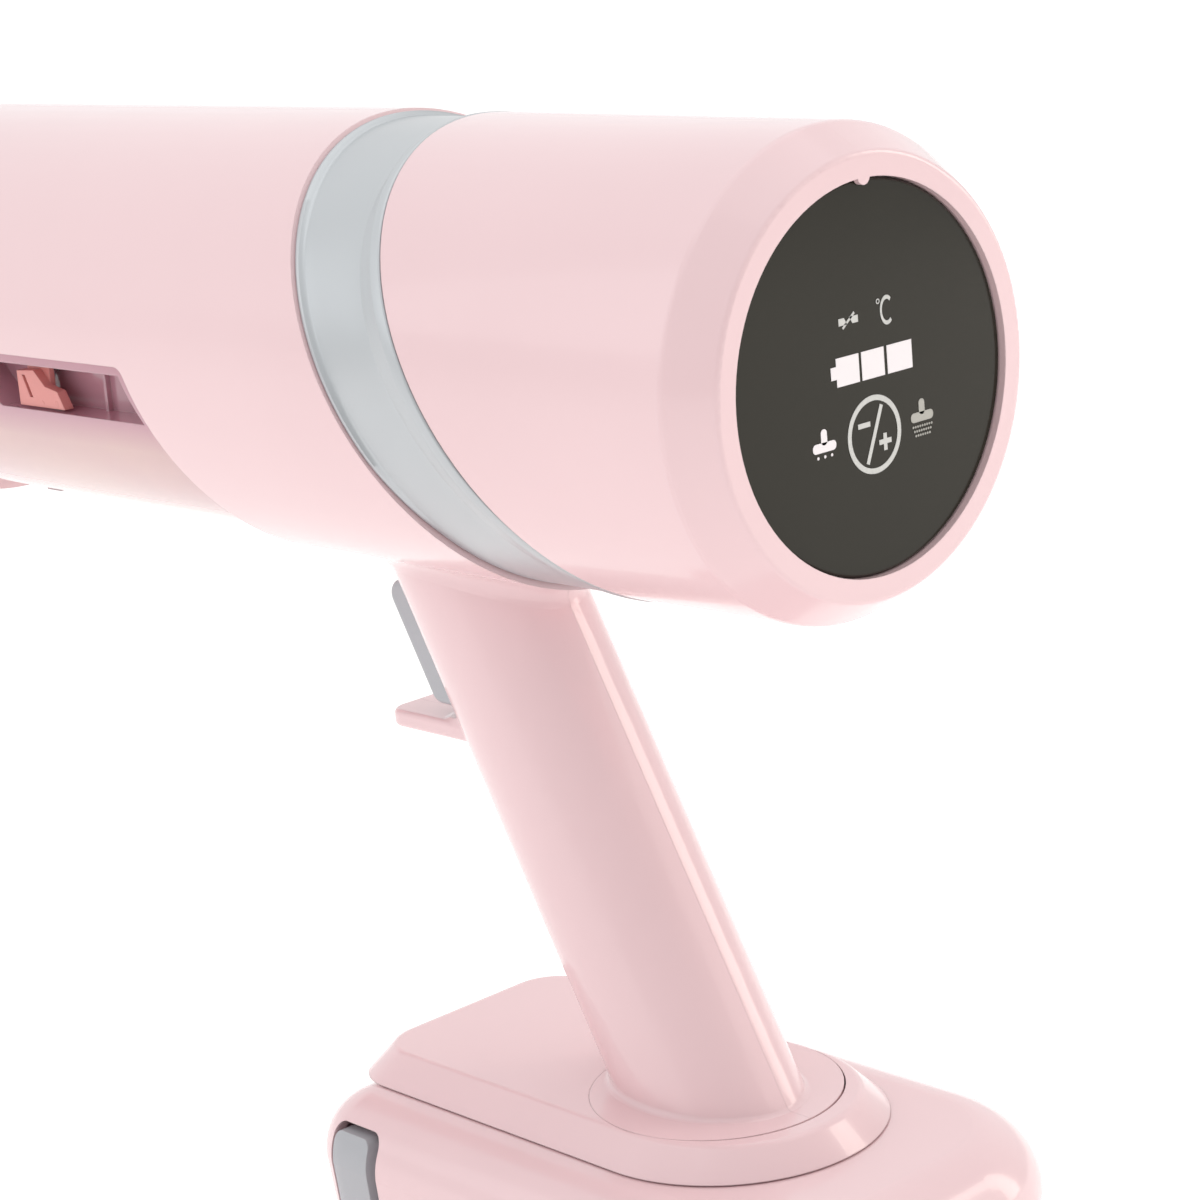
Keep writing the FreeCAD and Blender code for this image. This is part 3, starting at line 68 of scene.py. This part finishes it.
class Look:
    """A Principled material with procedural variation of colour, roughness and relief."""

    def __init__(self, name, colour, rough, **sockets):
        self.mat = bpy.data.materials.new(name)
        self.mat.use_nodes = True
        self.tree = self.mat.node_tree
        self.tree.nodes.clear()
        self.out = self.tree.nodes.new("ShaderNodeOutputMaterial")
        self.bsdf = self.tree.nodes.new("ShaderNodeBsdfPrincipled")
        self.tree.links.new(self.bsdf.outputs["BSDF"], self.out.inputs["Surface"])
        self.bsdf.inputs["Base Color"].default_value = colour
        self.bsdf.inputs["Roughness"].default_value = rough
        for key, val in sockets.items():
            self.bsdf.inputs[key.replace("_", " ")].default_value = val
        self.coord = self.tree.nodes.new("ShaderNodeTexCoord")

    def noise(self, scale, detail=3.0, rough=0.5):
        n = self.tree.nodes.new("ShaderNodeTexNoise")
        n.inputs["Scale"].default_value = scale
        n.inputs["Detail"].default_value = detail
        n.inputs["Roughness"].default_value = rough
        self.tree.links.new(self.coord.outputs["Object"], n.inputs["Vector"])
        return n.outputs["Fac"]

    def ramp(self, fac, lo, hi, p0=0.35, p1=0.65):
        r = self.tree.nodes.new("ShaderNodeValToRGB")
        r.color_ramp.elements[0].position = p0
        r.color_ramp.elements[1].position = p1
        r.color_ramp.elements[0].color = lo
        r.color_ramp.elements[1].color = hi
        self.tree.links.new(fac, r.inputs["Fac"])
        return r.outputs["Color"]

    def remap(self, fac, lo, hi, a=0.3, b=0.7):
        m = self.tree.nodes.new("ShaderNodeMapRange")
        m.inputs["From Min"].default_value = a
        m.inputs["From Max"].default_value = b
        m.inputs["To Min"].default_value = lo
        m.inputs["To Max"].default_value = hi
        self.tree.links.new(fac, m.inputs["Value"])
        return m.outputs["Result"]

    def colour(self, sock):
        self.tree.links.new(sock, self.bsdf.inputs["Base Color"])

    def roughness(self, sock):
        self.tree.links.new(sock, self.bsdf.inputs["Roughness"])

    def edges(self, size):
        """Softened edges: returns the rounded normal and a mask that is 1 on an edge."""
        bevel = self.tree.nodes.new("ShaderNodeBevel")
        bevel.samples = 4
        bevel.inputs["Radius"].default_value = size
        geo = self.tree.nodes.new("ShaderNodeNewGeometry")
        dot = self.tree.nodes.new("ShaderNodeVectorMath")
        dot.operation = "DOT_PRODUCT"
        self.tree.links.new(bevel.outputs["Normal"], dot.inputs[0])
        self.tree.links.new(geo.outputs["Normal"], dot.inputs[1])
        return bevel.outputs["Normal"], self.remap(dot.outputs["Value"], 1.0, 0.0, 0.72, 0.99)

    def mix(self, fac, a, b):
        """Blends from a to b, each a colour or a socket, as fac goes from 0 to 1."""
        m = self.tree.nodes.new("ShaderNodeMix")
        m.data_type = "RGBA"
        self.tree.links.new(fac, m.inputs["Factor"])
        for sock, val in ((m.inputs["A"], a), (m.inputs["B"], b)):
            if isinstance(val, tuple):
                sock.default_value = val
            else:
                self.tree.links.new(val, sock)
        return m.outputs["Result"]

    def scaled(self, fac, by):
        m = self.tree.nodes.new("ShaderNodeMath")
        m.operation = "MULTIPLY"
        m.inputs[1].default_value = by
        self.tree.links.new(fac, m.inputs[0])
        return m.outputs["Value"]

    def bump(self, fac, strength, normal, distance=GRAIN_DEPTH):
        b = self.tree.nodes.new("ShaderNodeBump")
        b.inputs["Strength"].default_value = strength
        b.inputs["Distance"].default_value = distance
        self.tree.links.new(fac, b.inputs["Height"])
        self.tree.links.new(normal, b.inputs["Normal"])
        self.tree.links.new(b.outputs["Normal"], self.bsdf.inputs["Normal"])


def shade(rgb, by):
    """A paler (by > 0) or darker (by < 0) version of a colour."""
    goal = 255.0 if by > 0 else 0.0
    return tuple(c + (goal - c) * abs(by) for c in rgb)


def plastic(name, rgb, rough, spread=0.03, fine=900.0, relief=0.06, edge=0.0003, edge_highlight=0.12, **extra):
    """Base colour with faint blotches, uneven gloss, fine grain, and edges painted paler as a painted
    highlight.

    spread: how far the blotches stray; fine and relief: scale and strength of the grain;
    edge: radius of the softened edges, in metres; edge_highlight, the last argument: how much paler
    the painted edge highlight is."""
    look = Look(name, srgb(*rgb), rough, **extra)
    normal, rim = look.edges(edge)
    body = look.ramp(look.noise(14.0, 2.0), srgb(*shade(rgb, -spread)), srgb(*shade(rgb, spread)))
    # painted highlight: the edge mask paints every edge paler
    look.colour(look.mix(look.scaled(rim, 0.6), body, srgb(*shade(rgb, edge_highlight))))
    look.roughness(look.remap(look.noise(45.0, 4.0), rough * 0.86, rough * 1.16))
    look.bump(look.noise(fine, 2.0), relief, normal)
    return look.mat


def tinted_tank():
    """Clear pink plastic, painted darker mauve high up round the pockets as a painted reflection and
    shade, paler below.
    """
    look = Look("tank_tint", srgb(226, 186, 190), 0.1, Transmission_Weight=0.22, IOR=1.49,
                Coat_Weight=0.4, Coat_Roughness=0.05)
    normal, rim = look.edges(0.0004)
    split = look.tree.nodes.new("ShaderNodeSeparateXYZ")
    look.tree.links.new(look.coord.outputs["Object"], split.inputs["Vector"])
    # painted reflection and shade: above these heights the wall is painted mauve
    high = look.remap(split.outputs["Z"], 0.0, 1.0, *POCKET_PAINTED_SHADE)
    low = look.ramp(look.noise(22.0, 3.0), srgb(232, 196, 192), srgb(226, 186, 190))
    body = look.mix(high, low, srgb(214, 162, 176))
    # painted highlight: the edges are painted paler
    look.colour(look.mix(look.scaled(rim, 0.5), body, srgb(240, 208, 214)))
    look.roughness(look.remap(look.noise(60.0, 4.0), 0.07, 0.16))
    look.bump(look.noise(500.0, 2.0), 0.05, normal)
    return look.mat


# every plastic look paints its edges paler as a painted highlight; the lens and the grey button set
# how strongly
LOOKS = {
    "pink": plastic("pink_abs", (237, 205, 208), 0.2, 0.012, Coat_Weight=0.5, Coat_Roughness=0.05),
    "silver": plastic("silver_paint", (194, 198, 201), 0.32, 0.02, Metallic=0.62),
    "lens": plastic("tinted_lens", (40, 38, 30), 0.12, 0.01, edge_highlight=0.04, Specular_IOR_Level=0.22),
    "board": plastic("circuit_board", (24, 92, 52), 0.45, 0.08),
    "pump": plastic("pump_black", (34, 34, 36), 0.4, 0.05),
    "cast_block": plastic("cast_aluminium", (168, 168, 170), 0.42, 0.06, 400.0, 0.3, Metallic=1.0),
    "inner_plastic": plastic("black_nylon", (42, 42, 44), 0.5, 0.05),
    "silicone": plastic("silicone", (206, 202, 196), 0.45, 0.03),
    "steel": plastic("plated_steel", (176, 176, 180), 0.28, 0.04, Metallic=1.0),
    "lead": plastic("wire_sleeve", (150, 26, 26), 0.4, 0.04),
    "grey": plastic("grey_abs", (178, 180, 185), 0.34, 0.02, 700.0, 0.1, edge_highlight=0.3),
    "tank": tinted_tank(),
    "plug": plastic("plug_silicone", (196, 176, 180), 0.5, 0.03),
    "salmon": plastic("salmon_abs", (224, 146, 140), 0.3, 0.02),
    "plate": plastic("polished_plate", (196, 198, 202), 0.18, 0.03, Metallic=1.0),
    "cell": plastic("cell_sleeve", (52, 108, 150), 0.35, 0.04),
    "print_bright": plastic("print_white", (244, 238, 240), 0.4, 0.01),
    "print_soft": plastic("print_soft_white", (206, 206, 202), 0.4, 0.01),
    "print_dim": plastic("print_grey", (178, 176, 168), 0.4, 0.01),
}

# every CAD node wears the look of its material slot
slots = {s["node"]: s["material_slot"] for s in frame["record"]["subparts"]}
for name, obj in nodes.items():
    obj.data.materials.clear()
    obj.data.materials.append(LOOKS[slots[name]])

# ---------------------------------------------------------------- helpers for pieces

def mesh_piece(name, verts, faces, look, body, node=None, smooth=True):
    """A mesh that rides on a CAD body and, where named, stands for a CAD node."""
    data = bpy.data.meshes.new(name)
    data.from_pydata([tuple(v) for v in verts], [], faces)
    data.validate()
    obj = bpy.data.objects.new(name, data)
    bpy.context.collection.objects.link(obj)
    bm = bmesh.new()
    bm.from_mesh(data)
    bmesh.ops.remove_doubles(bm, verts=bm.verts, dist=1e-7)
    bmesh.ops.recalc_face_normals(bm, faces=bm.faces)
    bm.to_mesh(data)
    bm.free()
    for poly in data.polygons:
        poly.use_smooth = smooth
    data.materials.append(LOOKS[look])
    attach(obj, body)
    if node:
        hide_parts(node)
    return obj


def sweep_rings(rings):
    """Faces between successive closed rings of equal length; the last joins the first."""
    verts = [v for ring in rings for v in ring]
    n = len(rings[0])
    faces = []
    for i in range(len(rings)):
        j = (i + 1) % len(rings)
        for k in range(n):
            m = (k + 1) % n
            faces.append((i * n + k, i * n + m, j * n + m, j * n + k))
    return verts, faces


# ---------------------------------------------------------------- trim ring

def ring_front(z):
    """X of the ring's slanted front edge at height z above the axis, in mm."""
    return -33.6 - 0.553 * z


def ring_rear(z):
    """X of the ring's slanted rear edge at height z above the axis, in mm."""
    return -8.3 - 0.585 * z


def trim_ring():
    """A satin ring: a narrow bevelled front rim, a sunken band, a ramp that swells to its
    widest on the flanks, and a raised rear lip. The rim sinks into the band underneath."""
    steps = 360
    r_in, r_rim, r_band = 41.05, 43.88, 42.9
    profiles = []
    for k in range(steps):
        a = 2 * math.pi * k / steps
        side, up = math.cos(a), math.sin(a)
        z = 43.5 * up
        front, rear = ring_front(z), ring_rear(z)
        flank = math.degrees(math.asin(max(-1.0, min(1.0, up))))
        swell = max(0.0, 1 - ((flank + 3) / 68.0) ** 2)
        lip = 1.3 + 1.9 * max(0.0, 1 - ((flank + 4) / 75.0) ** 2)
        ramp = 0.35 + 3.9 * swell
        foot = rear - lip - ramp
        under = max(0.0, min(1.0, (-18.0 - flank) / 22.0))
        rim = r_rim - (r_rim - r_band - 0.3) * under
        top = r_rim - 0.25 * under
        prof = [
            (front, r_in), (front, rim - 0.45),
            (front + 0.12, rim - 0.2), (front + 0.42, rim - 0.02),
            (front + 0.75, rim), (front + 1.3, rim - 0.06 * (1 - under)),
            (front + 1.75, r_band + 0.28), (front + 2.1, r_band + 0.06 + 0.2 * under),
            (front + 2.6, r_band + 0.2 * under),
        ]
        band = r_band + 0.2 * under
        for t in (0.2, 0.4, 0.6, 0.8):
            prof.append((front + 2.6 + (foot - 0.5 - front - 2.6) * t, band))
        prof += [(foot - 0.5, band), (foot - 0.12, band + 0.03), (foot + 0.12, band + 0.1)]
        for t in (0.25, 0.5, 0.75):
            prof.append((foot + ramp * t, band + 0.08 + (top - 0.1 - band - 0.08) * t))
        prof += [
            (rear - lip - 0.12, top - 0.1), (rear - lip + 0.12, top - 0.02),
            (rear - lip + 0.4, top),
            (rear - 0.6, top), (rear - 0.25, top - 0.06), (rear - 0.06, top - 0.25),
            (rear, top - 0.5), (rear, r_in),
        ]
        profiles.append([(x * MM, -side * r * MM, AXIS + up * r * MM) for x, r in prof])
    rings = [[profiles[k][i] for k in range(steps)] for i in range(len(profiles[0]))]
    verts, faces = sweep_rings(rings)
    ring = mesh_piece("trim_ring_piece", verts, faces, "silver", "housing", "trim_ring")
    ring.data.set_sharp_from_angle(angle=math.radians(50))


trim_ring()

# ---------------------------------------------------------------- springs

def pressed_spring(node, body):
    """A copy of the spring's coil that rides on the given body and stands for the CAD node."""
    source = nodes[node]
    verts = [tuple(source.matrix_world @ v.co) for v in source.data.vertices]
    faces = [tuple(p.vertices) for p in source.data.polygons]
    coil = mesh_piece(node + "_coil", verts, faces, "steel", body, node)
    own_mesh(coil)


pressed_spring("trigger_spring", "housing")
for hand, inward in (("left", 1), ("right", -1)):
    pressed_spring(f"latch_spring_{hand}", "tank")
    pressed_spring(f"button_spring_{hand}", "pack")

# ---------------------------------------------------------------- display print

def flat_piece(name, loops, look, thickness=0.05):
    """Closed outlines (y right, z up, in display radii) as thin prints on the lens."""
    verts, faces = [], []
    for loop in loops:
        base = len(verts)
        n = len(loop)
        for depth in (0.0, thickness):
            for y, z in loop:
                verts.append(((LENS_X + depth) * MM, y * DISPLAY_R * MM, AXIS + z * DISPLAY_R * MM))
        faces.append(tuple(range(base + n, base + 2 * n)))
        for i in range(n):
            j = (i + 1) % n
            faces.append((base + i, base + j, base + n + j, base + n + i))
    return mesh_piece(name, verts, faces, look, "housing", smooth=False)


def disc(cy, cz, r, n):
    turns = [2 * math.pi * i / n for i in range(n)]
    return [(cy + r * math.cos(a), cz + r * math.sin(a)) for a in turns]


def rounded_rect(y0, z0, y1, z1, r, n=5):
    pts = []
    corners = ((y1 - r, z1 - r, 0), (y0 + r, z1 - r, 90), (y0 + r, z0 + r, 180), (y1 - r, z0 + r, 270))
    for cy, cz, start in corners:
        for i in range(n + 1):
            a = math.radians(start + 90 * i / n)
            pts.append((cy + r * math.cos(a), cz + r * math.sin(a)))
    return pts


def bar(y0, z0, y1, z1, w):
    """A straight stroke between two points."""
    dy, dz = y1 - y0, z1 - z0
    length = math.hypot(dy, dz)
    ny, nz = -dz / length * w / 2, dy / length * w / 2
    return [(y0 + ny, z0 + nz), (y0 - ny, z0 - nz), (y1 - ny, z1 - nz), (y1 + ny, z1 + nz)]


def arc_strokes(cy, cz, r, w, start, end, n):
    """A curved stroke, as a chain of short quads."""
    loops = []
    for i in range(n):
        a, b = (math.radians(start + (end - start) * t / n) for t in (i, i + 1))
        loops.append([
            (cy + (r - w / 2) * math.cos(a), cz + (r - w / 2) * math.sin(a)),
            (cy + (r + w / 2) * math.cos(a), cz + (r + w / 2) * math.sin(a)),
            (cy + (r + w / 2) * math.cos(b), cz + (r + w / 2) * math.sin(b)),
            (cy + (r - w / 2) * math.cos(b), cz + (r - w / 2) * math.sin(b)),
        ])
    return loops


def display_print():
    low, high = 0.002, 0.146
    battery = [
        [(-0.29, 0.042), (-0.25, 0.042), (-0.25, low), (-0.083, low),
         (-0.083, high), (-0.25, high), (-0.25, 0.106), (-0.29, 0.106)],
        [(-0.064, low), (0.104, low), (0.104, high), (-0.064, high)],
        [(0.126, low), (0.313, low), (0.313, high), (0.126, high)],
    ]
    flat_piece("print_battery", battery, "print_bright")

    sign = arc_strokes(0.0, -0.281, 0.185, 0.028, 0, 360, 72)
    sign += [
        bar(0.062, -0.140, -0.062, -0.422, 0.024),
        bar(-0.118, -0.222, -0.028, -0.222, 0.026),
        bar(0.03, -0.33, 0.122, -0.33, 0.026),
        bar(0.076, -0.288, 0.076, -0.317, 0.026),
        bar(0.076, -0.343, 0.076, -0.376, 0.026),
    ]
    flat_piece("print_level", sign, "print_soft")

    def head_icon(cy, cz, rows):
        """A small steam head with rows of dots below it, each (count, radius, spacing)."""
        loops = [
            rounded_rect(cy - 0.022, cz - 0.01, cy + 0.022, cz + 0.07, 0.02),
            rounded_rect(cy - 0.085, cz - 0.045, cy + 0.085, cz + 0.004, 0.022),
        ]
        for row, (count, r, spread) in enumerate(rows):
            for i in range(count):
                y = cy + (i - (count - 1) / 2) * spread
                loops.append(disc(y, cz - 0.068 - row * 0.023, r, 8))
        return loops

    flat_piece("print_steam_low", head_icon(-0.369, -0.252, [(3, 0.0085, 0.05)]), "print_bright")
    steam_rows = [(count, 0.0065, 0.0175) for count in (9, 8, 7)]
    flat_piece("print_steam_high", head_icon(0.362, -0.238, steam_rows), "print_dim")

    degree = arc_strokes(0.145, 0.323, 0.056, 0.018, 50, 310, 20)
    squeezed = [[(0.145 + (y - 0.145) * 0.78, 0.323 + (z - 0.323) * 1.15) for y, z in loop]
                for loop in degree]
    squeezed += arc_strokes(0.082, 0.375, 0.011, 0.006, 0, 360, 12)
    flat_piece("print_degree", squeezed, "print_soft")
    flat_piece("print_low", [
        [(-0.212, 0.300), (-0.150, 0.300), (-0.172, 0.336), (-0.212, 0.336)],
        [(-0.112, 0.300), (-0.070, 0.300), (-0.070, 0.336), (-0.134, 0.336)],
        bar(-0.185, 0.284, -0.095, 0.352, 0.013),
    ], "print_soft")


display_print()

# ---------------------------------------------------------------- stage

def area(name, at, target, size_x, size_y, power, colour=(1, 1, 1)):
    """A soft rectangular light at one point, facing another."""
    light = bpy.data.lights.new(name, "AREA")
    light.shape = "RECTANGLE"
    light.size, light.size_y = size_x, size_y
    light.energy = power
    light.color = colour
    obj = bpy.data.objects.new(name, light)
    bpy.context.collection.objects.link(obj)
    obj.location = at
    obj.rotation_euler = (Vector(target) - Vector(at)).to_track_quat("-Z", "Y").to_euler()


bpy.ops.mesh.primitive_plane_add(size=60.0, location=(0, 0, 0))
floor = bpy.context.object
floor.name = "floor"
floor_look = Look("floor_paper", srgb(250, 250, 250), 0.75)
floor_look.bsdf.inputs["Emission Color"].default_value = (1.0, 0.9, 0.85, 1)
floor_look.bsdf.inputs["Emission Strength"].default_value = 0.2
floor.data.materials.append(floor_look.mat)


def studio_world():
    """White all round, brightest above and on the far left, dimmer at the rear right."""
    world = bpy.data.worlds.new("studio")
    bpy.context.scene.world = world
    world.use_nodes = True
    tree = world.node_tree
    back = tree.nodes["Background"]
    coord = tree.nodes.new("ShaderNodeTexCoord")
    dot = tree.nodes.new("ShaderNodeVectorMath")
    dot.operation = "DOT_PRODUCT"
    dot.inputs[1].default_value = (-0.62, 0.10, 0.78)
    level = tree.nodes.new("ShaderNodeMapRange")
    level.inputs["From Min"].default_value = -0.7
    level.inputs["From Max"].default_value = 0.6
    level.inputs["To Min"].default_value = 0.36
    level.inputs["To Max"].default_value = 1.02
    tree.links.new(coord.outputs["Generated"], dot.inputs[0])
    tree.links.new(dot.outputs["Value"], level.inputs["Value"])
    tree.links.new(level.outputs["Result"], back.inputs["Strength"])
    back.inputs["Color"].default_value = (1, 1, 1, 1)


studio_world()
area("key_left", (-0.9, -1.3, 1.0), (-0.02, 0, 0.15), 1.2, 1.0, 1.6)
area("overhead", (-0.25, 0.1, 1.7), (0, 0, 0.1), 1.8, 1.5, 3.2)
area("warm_strip", (0.75, 1.30, 0.62), (0, 0, 0.12), 0.42, 1.1, 4.6, (1.0, 0.9, 0.8))
area("warm_panel", (1.36, 0.79, 0.74), (0, 0, 0.12), 1.2, 0.9, 1.9, (1.0, 0.94, 0.88))

# ---------------------------------------------------------------- camera

def photo_camera():
    """Azimuth from behind, elevation and roll in degrees; location in metres."""
    az, el, roll = (math.radians(a) for a in (49.319, 14.948, -5.427))
    fwd = Vector((-math.sin(az) * math.cos(el), math.cos(az) * math.cos(el), -math.sin(el)))
    flat = fwd.cross(Vector((0, 0, 1))).normalized()
    upright = flat.cross(fwd)
    right = math.cos(roll) * flat + math.sin(roll) * upright
    up = right.cross(fwd)
    data = bpy.data.cameras.new("camera")
    data.lens = 93.6
    data.sensor_width = 36.0
    data.shift_x, data.shift_y = 0.0749, 0.0389
    data.clip_start, data.clip_end = 0.01, 20.0
    cam = bpy.data.objects.new("camera", data)
    bpy.context.collection.objects.link(cam)
    m = Matrix((right, up, -fwd)).transposed().to_4x4()
    m.translation = Vector((0.41168, -0.38767, 0.30198))
    cam.matrix_world = m
    bpy.context.scene.camera = cam


photo_camera()
bpy.context.scene.view_settings.view_transform = "Standard"
